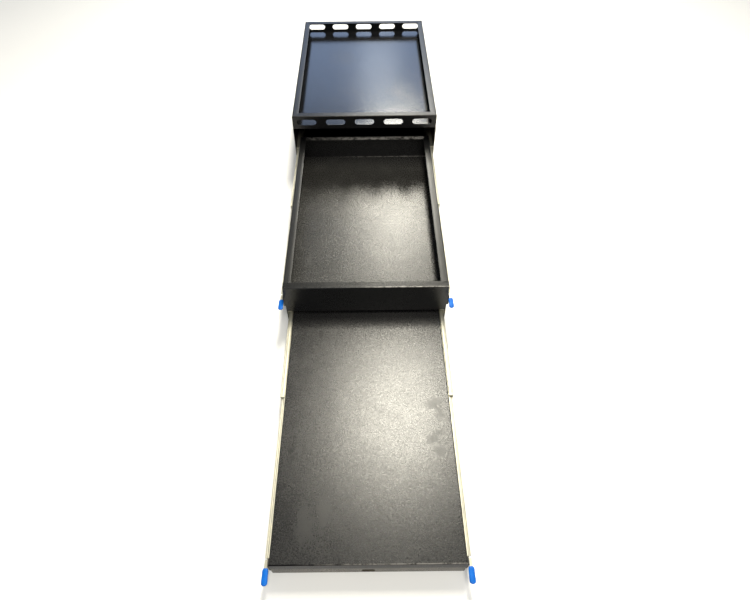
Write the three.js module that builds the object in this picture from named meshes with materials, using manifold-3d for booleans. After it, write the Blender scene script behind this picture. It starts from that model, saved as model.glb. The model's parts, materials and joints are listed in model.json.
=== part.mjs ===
// Two-stage slide-out unit in folded sheet steel: a fixed sleeve with an open
// cargo tray on top, a deep drawer that runs out of the sleeve, and a flat
// step panel that runs out from under the drawer. Both stages ride on pairs of
// three-member ball-bearing slides with sprung release levers.
// Millimetres. +X to the right, the unit opens towards -Y, +Z up.
// Origin: underside of the sleeve's base, in its middle.
// The model is drawn with both stages fully extended and locked out.
import * as THREE from 'three';
import { mergeVertices } from 'three/addons/utils/BufferGeometryUtils.js';
import Module from 'manifold-3d';

// ---------------------------------------------------------------- dimensions
const SHEET = 2.0;            // wall sheet
const BASE_SHEET = 2.5;       // sleeve base sheet
const GAP = 0.3;              // gap at every touching joint

const HEIGHT = 330;           // floor to tray rim
const DEPTH = 836;            // sleeve and tray, front to back
const SLEEVE_HALF = 291.5;    // half width over the sleeve's side sheets
const SLEEVE_TOP = 276;       // top of the sleeve's deck

const TRAY_HALF = 290;        // half width over the tray walls
const TRAY_FLOOR_TOP = 283;
const RIM_FLANGE = 25;        // inward flange round every open rim
const SLOT_COUNT = 5, SLOT_PITCH = 116.5, SLOT_LEN = 78, SLOT_H = 24, SLOT_Z = 302;

const DRAWER_TRAVEL = 798;    // slide travel of the first stage
const DRAWER_HALF = 269.5;
const DRAWER_DEPTH = 828;
const DRAWER_RIM = 216;       // rim height
const DRAWER_FRONT_LOW = 94;  // lower edge of the front and back sheets
const DRAWER_FLOOR_TOP = 116;
const DRAWER_SKIRT_LOW = 9;   // lower edge of the side sheets

const PANEL_TRAVEL = 788;     // slide travel of the second stage
const PANEL_HALF = 247.8;
const PANEL_LEN = 812;
const PANEL_TOP = 89;
const PANEL_LOW = 11;
const FINGER_SLOT = { w: 34, h: 24, z: 31, r: 8 };

// slide members: u runs outward from the moving box's side, v is height
const SLIDE_U0 = 0.3, SLIDE_U1 = 19.4, SLIDE_HALF = 38.1, STEEL = 2.0;
const UPPER_SLIDE_Z = 140, LOWER_SLIDE_Z = 50;
const OUTER_LEN = 812.8, MIDDLE_LEN = 790, RETAINER_LEN = 160;
const UPPER_INNER_LEN = 792, LOWER_INNER_LEN = 784;
const UPPER_MIDDLE_TRAVEL = 358, LOWER_MIDDLE_TRAVEL = 326;
const BALL_R = 2.9, TRACK_1 = { u: 8, v: 25 }, TRACK_2 = { u: 13, v: 32.2 };

// ------------------------------------------------------------ derived places
const FRONT = -DEPTH / 2, BACK = DEPTH / 2;
const DRAWER_FRONT = FRONT - DRAWER_TRAVEL, DRAWER_BACK = DRAWER_FRONT + DRAWER_DEPTH;
const PANEL_FRONT = DRAWER_FRONT - PANEL_TRAVEL, PANEL_BACK = PANEL_FRONT + PANEL_LEN;

// ------------------------------------------------------------------- helpers
const wasm = await Module();
wasm.setup();

function toSolid(geometry) {
  let g = geometry.index ? geometry.toNonIndexed() : geometry.clone();
  g.deleteAttribute('normal');
  g.deleteAttribute('uv');
  g = mergeVertices(g, 1e-4);
  return new wasm.Manifold(new wasm.Mesh({
    numProp: 3,
    vertProperties: new Float32Array(g.attributes.position.array),
    triVerts: new Uint32Array(g.index.array),
  }));
}

function toGeometry(solid) {
  const m = solid.getMesh();
  const g = new THREE.BufferGeometry();
  g.setAttribute('position', new THREE.BufferAttribute(new Float32Array(m.vertProperties), 3));
  g.setIndex(new THREE.BufferAttribute(new Uint32Array(m.triVerts), 1));
  g.computeVertexNormals();
  return g;
}

function shapeOf(points) {
  return new THREE.Shape(points.map(([a, b]) => new THREE.Vector2(a, b)));
}

// box between two corners
function box(x0, x1, y0, y1, z0, z1) {
  return new THREE.BoxGeometry(x1 - x0, y1 - y0, z1 - z0)
    .translate((x0 + x1) / 2, (y0 + y1) / 2, (z0 + z1) / 2);
}
// section in X,Z drawn along Y
function alongY(points, y0, y1) {
  return new THREE.ExtrudeGeometry(shapeOf(points), { depth: y1 - y0, bevelEnabled: false, steps: 1 })
    .rotateX(Math.PI / 2).translate(0, y1, 0);
}
// section in Y,Z drawn along X
const CYCLE = new THREE.Matrix4().makeBasis(
  new THREE.Vector3(0, 1, 0), new THREE.Vector3(0, 0, 1), new THREE.Vector3(1, 0, 0));
function alongX(points, x0, x1) {
  return new THREE.ExtrudeGeometry(shapeOf(points), { depth: x1 - x0, bevelEnabled: false, steps: 1 })
    .applyMatrix4(CYCLE).translate(x0, 0, 0);
}
// outline in X,Y given a thickness in Z
function alongZ(points, z0, z1) {
  return new THREE.ExtrudeGeometry(shapeOf(points), { depth: z1 - z0, bevelEnabled: false, steps: 1 })
    .translate(0, 0, z0);
}
// rounded outline: half sizes a, b with corner radius r
function rounded(ca, cb, a, b, r, n = 4) {
  const out = [];
  [[1, -1, -90], [1, 1, 0], [-1, 1, 90], [-1, -1, 180]].forEach(([sa, sb, from]) => {
    for (let i = 0; i <= n; i++) {
      const t = (from + (90 * i) / n) * Math.PI / 180;
      out.push([ca + sa * (a - r) + r * Math.cos(t), cb + sb * (b - r) + r * Math.sin(t)]);
    }
  });
  return out;
}

const unit = new THREE.Group();
unit.name = 'slide_out_unit';

const FINISH = {
  coat: { color: 0x101113, roughness: 0.42, metalness: 0.25 },
  zinc: { color: 0xd9d6c6, roughness: 0.3, metalness: 0.9 },
  ball: { color: 0xb9bcc0, roughness: 0.25, metalness: 1.0 },
  vinyl: { color: 0x0a6fe0, roughness: 0.4, metalness: 0.0 },
  bumper: { color: 0x1d1d1b, roughness: 0.7, metalness: 0.0 },
};
function put(name, finish, base, { join = [], cut = [] } = {}) {
  let geometry;
  if (join.length || cut.length) {
    let s = toSolid(base);
    for (const j of join) s = s.add(toSolid(j));
    for (const c of cut) s = s.subtract(toSolid(c));
    geometry = toGeometry(s);
  } else {
    geometry = base;
  }
  const mesh = new THREE.Mesh(geometry, new THREE.MeshStandardMaterial(FINISH[finish]));
  mesh.name = name;
  unit.add(mesh);
  return mesh;
}

// ------------------------------------------------------------ rimmed box walls
// End wall of an open box: a full-width sheet with an inward flange, mitred by default.
// dir = +1 when the inside of the box lies towards +Y, -1 towards -Y.
// reach = how far the flange's straight end stands from the middle, when it isn't mitred.
function endWall(half, yOuter, dir, z0, z1, reach = null) {
  const wall = box(-half, half, Math.min(yOuter, yOuter + dir * SHEET), Math.max(yOuter, yOuter + dir * SHEET), z0, z1);
  const outer = reach ?? half, innerX = reach ?? half - RIM_FLANGE;
  const flange = alongZ([
    [-outer, yOuter], [outer, yOuter],
    [innerX, yOuter + dir * RIM_FLANGE], [-innerX, yOuter + dir * RIM_FLANGE],
  ], z1 - SHEET, z1);
  return { wall, flange };
}
// Flange of a side wall, mitred at both ends to meet the end walls' flanges.
function sideFlange(sign, half, yFront, yBack, z1) {
  const m = GAP * Math.SQRT2, c = SHEET + GAP;
  const x = (d) => sign * (half - d);
  return alongZ([
    [x(0), yFront + c], [x(c - m), yFront + c],
    [x(RIM_FLANGE), yFront + RIM_FLANGE + m], [x(RIM_FLANGE), yBack - RIM_FLANGE - m],
    [x(c - m), yBack - c], [x(0), yBack - c],
  ], z1 - SHEET, z1);
}

// --------------------------------------------------------------------- sleeve
{
  const inner = SLEEVE_HALF - SHEET;
  put('sleeve_base', 'coat', box(-SLEEVE_HALF, SLEEVE_HALF, FRONT, BACK, 0, BASE_SHEET));
  for (const [side, s] of [['left', -1], ['right', 1]]) {
    const x0 = Math.min(s * inner, s * SLEEVE_HALF), x1 = Math.max(s * inner, s * SLEEVE_HALF);
    put(`sleeve_side_${side}`, 'coat', box(x0, x1, FRONT, BACK, BASE_SHEET + GAP, SLEEVE_TOP));
  }
  const w = inner - GAP;
  put('sleeve_back', 'coat', box(-w, w, BACK - SHEET, BACK, BASE_SHEET + GAP, SLEEVE_TOP - SHEET - GAP));
  put('sleeve_deck', 'coat', box(-w, w, FRONT, BACK, SLEEVE_TOP - SHEET, SLEEVE_TOP));
}

// ----------------------------------------------------------------- cargo tray
{
  const z0 = SLEEVE_TOP + GAP;
  const slots = (y0, y1) => Array.from({ length: SLOT_COUNT }, (_, i) => alongY(
    rounded((i - (SLOT_COUNT - 1) / 2) * SLOT_PITCH, SLOT_Z, SLOT_LEN / 2, SLOT_H / 2, SLOT_H / 2 - 0.01, 5), y0, y1));
  const front = endWall(TRAY_HALF, FRONT, 1, z0, HEIGHT);
  const back = endWall(TRAY_HALF, BACK, -1, z0, HEIGHT);
  put('tray_wall_front', 'coat', front.wall, { join: [front.flange], cut: slots(FRONT - 5, FRONT + 7) });
  put('tray_wall_back', 'coat', back.wall, { join: [back.flange], cut: slots(BACK - 7, BACK + 5) });
  for (const [side, s] of [['left', -1], ['right', 1]]) {
    const xo = s * TRAY_HALF, xi = s * (TRAY_HALF - SHEET);
    put(`tray_wall_${side}`, 'coat',
      box(Math.min(xo, xi), Math.max(xo, xi), FRONT + SHEET + GAP, BACK - SHEET - GAP, z0, HEIGHT),
      { join: [sideFlange(s, TRAY_HALF, FRONT, BACK, HEIGHT)] });
  }
  // floor with two turned-down edges that stand on the sleeve deck
  const w = TRAY_HALF - SHEET - GAP, t = TRAY_FLOOR_TOP;
  put('tray_floor', 'coat', alongY([
    [-w, t], [-w, z0], [-w + SHEET, z0], [-w + SHEET, t - SHEET],
    [w - SHEET, t - SHEET], [w - SHEET, z0], [w, z0], [w, t],
  ], FRONT + SHEET + GAP, BACK - SHEET - GAP));
}

// --------------------------------------------------------------------- drawer
{
  const low = DRAWER_FRONT_LOW, rim = DRAWER_RIM, w = DRAWER_HALF - SHEET - GAP;
  // the front flange runs the full width, the side flanges butt against it and
  // run on to the back, and the back flange fits between them
  const front = endWall(DRAWER_HALF, DRAWER_FRONT, 1, low, rim, DRAWER_HALF);
  const back = endWall(DRAWER_HALF, DRAWER_BACK, -1, low, rim, DRAWER_HALF - RIM_FLANGE - GAP);
  put('drawer_front', 'coat', front.wall, { join: [front.flange,
    box(-w, w, DRAWER_FRONT + 0.5, DRAWER_FRONT + 20, low, low + SHEET)] });
  put('drawer_back', 'coat', back.wall, { join: [back.flange] });
  const ya = DRAWER_FRONT + SHEET + GAP, yb = DRAWER_BACK - SHEET - GAP;
  for (const [side, s] of [['left', -1], ['right', 1]]) {
    const xo = s * DRAWER_HALF, xi = s * (DRAWER_HALF - SHEET);
    // the side sheet runs on below the floor as a skirt that carries the lower slide,
    // and its top is notched where the front flange passes over it
    const notchY = DRAWER_FRONT + RIM_FLANGE + GAP, notchZ = rim - SHEET - GAP;
    const sheet = alongX([
      [ya, notchZ], [ya, low - GAP], [DRAWER_FRONT, low - GAP], [DRAWER_FRONT, DRAWER_SKIRT_LOW],
      [DRAWER_BACK, DRAWER_SKIRT_LOW], [DRAWER_BACK, low - GAP], [yb, low - GAP], [yb, rim],
      [notchY, rim], [notchY, notchZ],
    ], Math.min(xo, xi), Math.max(xo, xi));
    const fi = s * (DRAWER_HALF - RIM_FLANGE);
    put(`drawer_side_${side}`, 'coat', sheet, { join: [box(Math.min(xo, fi), Math.max(xo, fi),
      notchY, yb, rim - SHEET, rim)] });
  }
  put('drawer_floor', 'coat', box(-w, w, ya, yb, DRAWER_FLOOR_TOP - SHEET, DRAWER_FLOOR_TOP));
  // hat channels across the underside of the floor
  const zt = DRAWER_FLOOR_TOP - SHEET - GAP, zb = zt - 16;
  [['front', DRAWER_FRONT + 210], ['back', DRAWER_BACK - 210]].forEach(([end, yc]) => {
    put(`drawer_floor_brace_${end}`, 'coat', alongX([
      [yc - 40, zt], [yc - 40, zt - 1.5], [yc - 24, zt - 1.5], [yc - 24, zb], [yc + 24, zb], [yc + 24, zt - 1.5],
      [yc + 40, zt - 1.5], [yc + 40, zt], [yc + 22.5, zt], [yc + 22.5, zb + 1.5], [yc - 22.5, zb + 1.5], [yc - 22.5, zt],
    ], -w, w));
  });
}

// ----------------------------------------------------------------- step panel
{
  const y0 = PANEL_FRONT, y1 = PANEL_BACK, h = PANEL_HALF;
  put('panel_deck', 'coat', box(-h, h, y0 + SHEET + GAP, y1, PANEL_TOP - SHEET, PANEL_TOP));
  const w = h - SHEET - GAP;
  put('panel_front_lip', 'coat', box(-h, h, y0, y0 + SHEET, PANEL_LOW, PANEL_TOP), {
    join: [box(-w, w, y0 + 0.5, y0 + 18, PANEL_LOW, PANEL_LOW + SHEET)],
    cut: [alongY(rounded(0, FINGER_SLOT.z, FINGER_SLOT.w / 2, FINGER_SLOT.h / 2, FINGER_SLOT.r), y0 - 5, y0 + 6)],
  });
  const top = PANEL_TOP - SHEET - GAP;
  for (const [side, s] of [['left', -1], ['right', 1]]) {
    put(`panel_rail_${side}`, 'coat', alongY([
      [s * h, top], [s * h, PANEL_LOW], [s * (h - 18), PANEL_LOW], [s * (h - 18), PANEL_LOW + SHEET],
      [s * (h - SHEET), PANEL_LOW + SHEET], [s * (h - SHEET), top],
    ], y0 + 18 + GAP, y1));
  }
  put('panel_back_rail', 'coat', box(-w, w, y1 - SHEET, y1, PANEL_LOW + SHEET + GAP, top));
  [['front', y0 + 190], ['middle', y0 + 400], ['back', y0 + 610]].forEach(([where, yc]) => {
    const zb = top - 25;
    put(`panel_rib_${where}`, 'coat', alongX([
      [yc - 38, top], [yc - 38, top - 1.5], [yc - 20, top - 1.5], [yc - 20, zb], [yc + 20, zb], [yc + 20, top - 1.5],
      [yc + 38, top - 1.5], [yc + 38, top], [yc + 18.5, top], [yc + 18.5, zb + 1.5], [yc - 18.5, zb + 1.5], [yc - 18.5, top],
    ], -w, w));
  });
}

// --------------------------------------------------------------------- slides
// Points of a ball groove on a flange: centre (u, v), radius g, met at height vEdge.
function groove(u, v, g, vEdge, n = 4) {
  const half = Math.sqrt(g * g - (v - vEdge) ** 2);
  const a = Math.atan2(vEdge - v, -half), b = Math.atan2(vEdge - v, half);
  const pts = [];
  let start = a, end = b;
  if (vEdge < v) { if (start > 0) start -= 2 * Math.PI; if (end > 0) end -= 2 * Math.PI; }
  for (let i = 0; i <= n; i++) {
    const t = start + (end - start) * (i / n);
    pts.push([u + g * Math.cos(t), v + g * Math.sin(t)]);
  }
  return pts;
}
const GROOVE = 3.25;
// upper half of each section from the web's outside corner to its inside corner
function innerHalf() {
  const u0 = SLIDE_U0, w = SLIDE_U0 + STEEL, tip = 12.4;
  return [[u0, 23], ...groove(TRACK_1.u, TRACK_1.v, GROOVE, 23), [tip, 23], [tip, 21],
    [10.7, 21], [9.6, 19.9], [8, 19.6], [6.4, 19.9], [5.3, 21], [w, 21]];
}
function middleHalf() {
  const u0 = 14.0, u1 = 16.0, tip = 3.4;
  return [[u1, 30.2], ...groove(TRACK_2.u, TRACK_2.v, GROOVE, 30.2).reverse(), [tip, 30.2], [tip, 27],
    ...groove(TRACK_1.u, TRACK_1.v, GROOVE, 27).filter(() => true), [u0, 27]];
}
function outerHalf() {
  const u1 = SLIDE_U1, w = SLIDE_U1 - STEEL, tip = 6.2;
  return [[u1, SLIDE_HALF], [tip, SLIDE_HALF], [tip, 34.2],
    ...groove(TRACK_2.u, TRACK_2.v, GROOVE, 34.2), [w, 34.2]];
}
function section(half, sign, xBase, zc) {
  const up = half, down = half.map(([u, v]) => [u, -v]).reverse();
  return [...up, ...down].map(([u, v]) => [sign * (xBase + u), zc + v]);
}
function webHoles(sign, xBase, zc, ys, u0, u1, a, b) {
  return ys.map((y) => alongX(rounded(y, zc, a, b, Math.min(a, b) - 0.01, 3),
    Math.min(sign * (xBase + u0), sign * (xBase + u1)), Math.max(sign * (xBase + u0), sign * (xBase + u1))));
}
function retainer(sign, xBase, zc, yc, track, webU0, webU1, tipU) {
  const t = 0.4, top = track.v + t, bot = track.v - t;
  const half = [[webU1, top], [tipU, top], [tipU, bot], [webU0, bot]];
  const strip = alongY(section(half, sign, xBase, zc), yc - RETAINER_LEN / 2, yc + RETAINER_LEN / 2);
  const balls = [];
  for (const v of [1, -1]) for (let i = 0; i < 5; i++) {
    balls.push(new THREE.SphereGeometry(BALL_R, 6, 4)
      .translate(sign * (xBase + track.u), yc + (i - 2) * 34, zc + v * track.v));
  }
  return { strip, balls };
}

const STAGES = [
  { name: 'upper', half: DRAWER_HALF, zc: UPPER_SLIDE_Z, fixedFront: FRONT, boxFront: DRAWER_FRONT,
    middleTravel: UPPER_MIDDLE_TRAVEL, innerLen: UPPER_INNER_LEN },
  { name: 'lower', half: PANEL_HALF, zc: LOWER_SLIDE_Z, fixedFront: DRAWER_FRONT, boxFront: PANEL_FRONT,
    middleTravel: LOWER_MIDDLE_TRAVEL, innerLen: LOWER_INNER_LEN },
];
for (const st of STAGES) {
  for (const [side, s] of [['left', -1], ['right', 1]]) {
    const { half, zc } = st, id = `${st.name}_slide`;
    // outer member, screwed to the fixed side
    const oy = st.fixedFront + 6;
    put(`${id}_outer_${side}`, 'zinc', alongY(section(outerHalf(), s, half, zc), oy, oy + OUTER_LEN),
      { cut: webHoles(s, half, zc, [oy + 40, oy + 300, oy + 560, oy + 775], SLIDE_U1 - 6, SLIDE_U1 + 4, 9, 4) });
    // middle member, drawn at its extended place
    const my = st.fixedFront + 10 - st.middleTravel;
    put(`${id}_middle_${side}`, 'zinc', alongY(section(middleHalf(), s, half, zc), my, my + MIDDLE_LEN),
      { cut: webHoles(s, half, zc, [my + 60, my + 395, my + 730], 13, 17, 20, 11) });
    // inner member, screwed to the moving box; its front end carries the lever pivot
    const iy = st.boxFront + 22, iEnd = iy + st.innerLen;
    const pin = new THREE.CylinderGeometry(3, 3, 7.3, 12).rotateZ(Math.PI / 2)
      .translate(s * (half + 1.0 + 3.65), st.boxFront + 50, zc);
    put(`${id}_inner_${side}`, 'zinc', alongY(section(innerHalf(), s, half, zc), iy, iEnd),
      { cut: webHoles(s, half, zc, [iy + 90, iy + 330, iy + 570, iEnd - 40], -1, 4, 9, 4), join: [pin] });
    // ball retainers: inner track between inner and middle, outer track between middle and outer
    const y1 = (Math.max(iy, my) + Math.min(iEnd, my + MIDDLE_LEN)) / 2;
    const y2 = (Math.max(oy, my) + Math.min(oy + OUTER_LEN, my + MIDDLE_LEN)) / 2;
    const r1 = retainer(s, half, zc, y1, TRACK_1, 12.8, 13.5, 4.4);
    const r2 = retainer(s, half, zc, y2, TRACK_2, 16.4, 17.05, 9.4);
    put(`${id}_ball_retainer_inner_${side}`, 'ball', r1.strip, { join: r1.balls });
    put(`${id}_ball_retainer_outer_${side}`, 'ball', r2.strip, { join: r2.balls });
    // front stop of the inner member
    put(`${id}_bumper_${side}`, 'bumper', box(
      Math.min(s * (half + 0.3), s * (half + 5.6)), Math.max(s * (half + 0.3), s * (half + 5.6)),
      st.boxFront + 2, st.boxFront + 22 - GAP, zc - 20, zc + 25));
    // release lever: pivoted plate that turns flat into a finger tab
    const X = (u) => s * (half + u), f = st.boxFront;
    const plate = alongX([
      [f + 58, zc - 6], [f + 58, zc + 6], [f + 54, zc + 10], [f + 40, zc + 12], [f + 20, zc + 18.5], [f + 3, zc + 18.5],
      [f + 3, zc - 14], [f + 6, zc - 18], [f + 13, zc - 18], [f + 16, zc - 14], [f + 19, zc - 5], [f + 40, zc - 9], [f + 54, zc - 10],
    ], Math.min(X(6.4), X(8.4)), Math.max(X(6.4), X(8.4)));
    const tab = box(Math.min(X(6.4), X(13.4)), Math.max(X(6.4), X(13.4)), f - 37, f + 19, zc + 16, zc + 18.5);
    const bore = new THREE.CylinderGeometry(3.3, 3.3, 12, 12).rotateZ(Math.PI / 2)
      .translate(s * (half + 7.4), f + 50, zc);
    put(`${id}_lever_${side}`, 'zinc', plate, { join: [tab], cut: [bore] });
    // dipped vinyl grip over the tab
    const gc = 9.9, gy0 = f - 40.5, gy1 = f - 0.5;
    const grip = alongZ(rounded(X(gc), (gy0 + gy1) / 2, 8.2, (gy1 - gy0) / 2, 7.6, 4), zc + 13.3, zc + 21.2);
    put(`${id}_lever_grip_${side}`, 'vinyl', grip, { cut: [box(
      Math.min(X(6.4 - GAP), X(13.4 + GAP)), Math.max(X(6.4 - GAP), X(13.4 + GAP)),
      f - 37 - GAP, f + 10, zc + 16 - GAP, zc + 18.5 + GAP)] });
  }
}

export default unit;
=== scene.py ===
import json
import math

import bmesh
import bpy
from mathutils import Matrix, Vector

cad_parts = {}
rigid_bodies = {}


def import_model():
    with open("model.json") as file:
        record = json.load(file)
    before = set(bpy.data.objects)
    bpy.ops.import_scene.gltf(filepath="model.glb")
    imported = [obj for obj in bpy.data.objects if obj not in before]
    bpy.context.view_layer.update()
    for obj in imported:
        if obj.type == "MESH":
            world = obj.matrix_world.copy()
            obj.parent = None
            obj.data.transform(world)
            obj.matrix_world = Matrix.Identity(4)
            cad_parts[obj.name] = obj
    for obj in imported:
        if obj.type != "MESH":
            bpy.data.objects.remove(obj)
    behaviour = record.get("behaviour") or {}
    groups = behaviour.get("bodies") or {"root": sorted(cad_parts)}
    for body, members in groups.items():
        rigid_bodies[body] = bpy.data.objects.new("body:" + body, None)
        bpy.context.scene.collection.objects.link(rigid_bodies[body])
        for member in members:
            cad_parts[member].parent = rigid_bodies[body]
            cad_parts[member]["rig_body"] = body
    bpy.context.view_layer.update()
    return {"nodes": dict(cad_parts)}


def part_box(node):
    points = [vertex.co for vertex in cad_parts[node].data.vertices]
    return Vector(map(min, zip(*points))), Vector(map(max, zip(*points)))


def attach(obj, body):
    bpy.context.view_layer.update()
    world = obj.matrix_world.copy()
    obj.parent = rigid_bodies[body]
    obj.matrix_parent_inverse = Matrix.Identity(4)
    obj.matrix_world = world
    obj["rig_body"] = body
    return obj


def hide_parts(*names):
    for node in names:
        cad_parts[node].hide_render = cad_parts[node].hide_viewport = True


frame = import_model()

# Everything is drawn in millimetres and scaled to metres when a piece is finished.
MM = 0.001


def node_box(name):
    a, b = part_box(name)
    return [v * 1000 for v in a], [v * 1000 for v in b]


# ------------------------------------------------------------------ main places
_t0, _t1 = node_box("tray_wall_front")
_k0, _k1 = node_box("tray_wall_back")
FRONT, BACK, TRAY_HALF, TRAY_LOW, HEIGHT = _t0[1], _k1[1], _t1[0], _t0[2], _t1[2]
_s0, _s1 = node_box("sleeve_side_right")
SLEEVE_HALF, SLEEVE_TOP = _s1[0], _s1[2]
_h0, _h1 = node_box("sleeve_back")
BACK_TOP, BACK_HALF = _h1[2], _h1[0]
_f0, _f1 = node_box("tray_floor")
TRAY_FLOOR, TRAY_FLOOR_HALF = _f1[2], _f1[0]
_d0, _d1 = node_box("drawer_side_right")
DF, DB, DH, DR, SKIRT = _d0[1], _d1[1], _d1[0], _d1[2], _d0[2]
DL = node_box("drawer_front")[0][2]
_g0, _g1 = node_box("drawer_floor")
DFLOOR, DFLOOR_HALF = _g1[2], _g1[0]
_p0, _p1 = node_box("panel_front_lip")
PF, PH, PL, PT = _p0[1], _p1[0], _p0[2], _p1[2]
PB = node_box("panel_deck")[1][1]
T = 2.0
RIM = 25.0
SLOT_PITCH, SLOT_LEN, SLOT_H, SLOT_Z = 116.5, 78.0, 24.0, 302.0


# --------------------------------------------------------------- plane geometry
def sub(a, b):
    return (a[0] - b[0], a[1] - b[1])


def unit2(a):
    n = math.hypot(*a) or 1.0
    return (a[0] / n, a[1] / n)


def turn(p, q, r):
    """Signed angle turned at q on the way from p to r."""
    d0, d1 = unit2(sub(q, p)), unit2(sub(r, q))
    return math.atan2(d0[0] * d1[1] - d0[1] * d1[0], d0[0] * d1[0] + d0[1] * d1[1])


def corner(p, q, r, radius, steps):
    """Points of the arc that rounds the corner at q."""
    a = turn(p, q, r)
    if abs(a) < math.radians(20) or radius <= 0:
        return [q]
    d0, d1 = unit2(sub(q, p)), unit2(sub(r, q))
    run = radius * math.tan(abs(a) / 2)
    room = 0.48 * min(math.dist(p, q), math.dist(q, r))
    if run > room:
        radius *= room / run
        run = room
    s = 1 if a > 0 else -1
    start = (q[0] - d0[0] * run, q[1] - d0[1] * run)
    c = (start[0] - d0[1] * radius * s, start[1] + d0[0] * radius * s)
    v = sub(start, c)
    out = []
    for k in range(steps + 1):
        t = a * k / steps
        out.append((c[0] + v[0] * math.cos(t) - v[1] * math.sin(t), c[1] + v[0] * math.sin(t) + v[1] * math.cos(t)))
    return out


def round_closed(pts, radius, steps=4):
    """A closed outline with its corners rounded; a point may carry its own radius."""
    out, n = [], len(pts)
    for i in range(n):
        p, q, r = pts[i - 1], pts[i], pts[(i + 1) % n]
        out += corner(p[:2], q[:2], r[:2], q[2] if len(q) > 2 else radius, steps)
    return out


def sheet_outline(path, t=T, side=1, ri=2.0, steps=5):
    """Closed section of a folded sheet. path runs along one face, the sheet lies to its left (side=1) or right."""
    a = [path[0]]
    for i in range(1, len(path) - 1):
        p, q, r = path[i - 1], path[i], path[i + 1]
        inside = (turn(p, q, r) > 0) == (side > 0)
        a += corner(p, q, r, ri + t if inside else ri, steps)
    a.append(path[-1])
    b = []
    for i, q in enumerate(a):
        d0 = unit2(sub(q, a[i - 1])) if i else unit2(sub(a[1], a[0]))
        d1 = unit2(sub(a[i + 1], q)) if i < len(a) - 1 else d0
        n0, n1 = (-d0[1] * side, d0[0] * side), (-d1[1] * side, d1[0] * side)
        m = unit2((n0[0] + n1[0], n0[1] + n1[1]))
        k = t / max(0.3, m[0] * n0[0] + m[1] * n0[1])
        b.append((q[0] + m[0] * k, q[1] + m[1] * k))
    return a + b[::-1]


# ------------------------------------------------------------------ mesh helpers
def to_object(name, verts, faces):
    me = bpy.data.meshes.new(name)
    me.from_pydata([tuple(v) for v in verts], [], faces)
    bm = bmesh.new()
    bm.from_mesh(me)
    bmesh.ops.recalc_face_normals(bm, faces=bm.faces)
    bm.to_mesh(me)
    bm.free()
    ob = bpy.data.objects.new(name, me)
    bpy.context.scene.collection.objects.link(ob)
    return ob


def value(c, a, b):
    return c(a, b) if callable(c) else c


def prism(outline, axis, c0, c1, cuts=()):
    """A closed outline (a, b) drawn along an axis, as (verts, faces). c0 and c1 may depend on (a, b), which mitres the ends."""
    place = {
        "X": lambda a, b, c: (c, a, b),
        "Y": lambda a, b, c: (a, c, b),
        "Z": lambda a, b, c: (a, b, c),
    }[axis]
    stations = [0.0, *cuts, 1.0]
    verts, n = [], len(outline)
    for s in stations:
        for a, b in outline:
            lo, hi = value(c0, a, b), value(c1, a, b)
            verts.append(place(a, b, lo + (hi - lo) * s))
    faces = []
    for k in range(len(stations) - 1):
        for i in range(n):
            j = (i + 1) % n
            faces.append((k * n + i, k * n + j, (k + 1) * n + j, (k + 1) * n + i))
    last = (len(stations) - 1) * n
    faces.append(tuple(range(n))[::-1])
    faces.append(tuple(last + i for i in range(n)))
    return verts, faces


def loft(rings):
    """Closed rings of equal count joined in order, with both ends closed."""
    n, verts, faces = len(rings[0]), [], []
    for ring in rings:
        verts += ring
    for k in range(len(rings) - 1):
        for i in range(n):
            j = (i + 1) % n
            faces.append((k * n + i, k * n + j, (k + 1) * n + j, (k + 1) * n + i))
    faces.append(tuple(range(n))[::-1])
    faces.append(tuple((len(rings) - 1) * n + i for i in range(n)))
    return verts, faces


def about(centre, axis):
    """Maps (p, q, h) to a point, with h along the axis from the centre."""
    w = Vector(axis).normalized()
    u = w.orthogonal().normalized()
    if abs(w.x) > 0.9:
        u = Vector((0, 1, 0))
    elif abs(w.z) > 0.9:
        u = Vector((1, 0, 0))
    v = w.cross(u)
    c = Vector(centre)
    return lambda p, q, h: tuple(c + u * p + v * q + w * h)


def circle(r, n, flat=0):
    """Circle of n points, or a hexagon with as many points when flat is 6."""
    out = []
    for i in range(n):
        t = 2 * math.pi * i / n
        k = r
        if flat:
            seg = 2 * math.pi / flat
            k = r * math.cos(seg / 2) / math.cos((t % seg) - seg / 2)
        out.append((k * math.cos(t), k * math.sin(t)))
    return out


def turned(centre, axis, profile, n=24):
    """Turned piece: profile is (radius, height) or (radius, height, 6) for a hexagonal ring."""
    put = about(centre, axis)
    return loft([[put(p, q, step[1]) for p, q in circle(step[0], n, step[2] if len(step) > 2 else 0)] for step in profile])


def button_screw(centre, axis, r=5.5, h=2.3, hexr=2.1):
    return turned(centre, axis, [
        (r * 0.94, 0), (r, h * 0.12), (r * 0.985, h * 0.35), (r * 0.9, h * 0.62), (r * 0.74, h * 0.84),
        (r * 0.55, h * 0.96), (hexr * 1.22, h), (hexr * 1.04, h, 6), (hexr, h * 0.9, 6), (hexr, h * 0.3, 6)])


def flush_screw(centre, axis, r=5.0, hexr=1.9, depth=1.5):
    return turned(centre, axis, [
        (r * 0.8, -depth), (r - 0.25, -0.3), (r - 0.05, -0.12), (r - 0.25, 0), (hexr * 1.3, 0), (hexr * 1.05, 0, 6),
        (hexr, -0.15, 6), (hexr, -depth * 0.7, 6)])


def rivet(centre, axis, r=4.4, h=1.0):
    return turned(centre, axis, [(r * 0.93, 0), (r, h * 0.16), (r * 0.96, h * 0.45), (r * 0.78, h * 0.78), (r * 0.5, h * 0.95), (r * 0.2, h)])


def ball(centre, r, n=20, m=10):
    return turned(centre, (0, 1, 0), [(max(0.04, math.sin(math.pi * k / m)) * r, -r * math.cos(math.pi * k / m)) for k in range(m + 1)], n)


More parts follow.
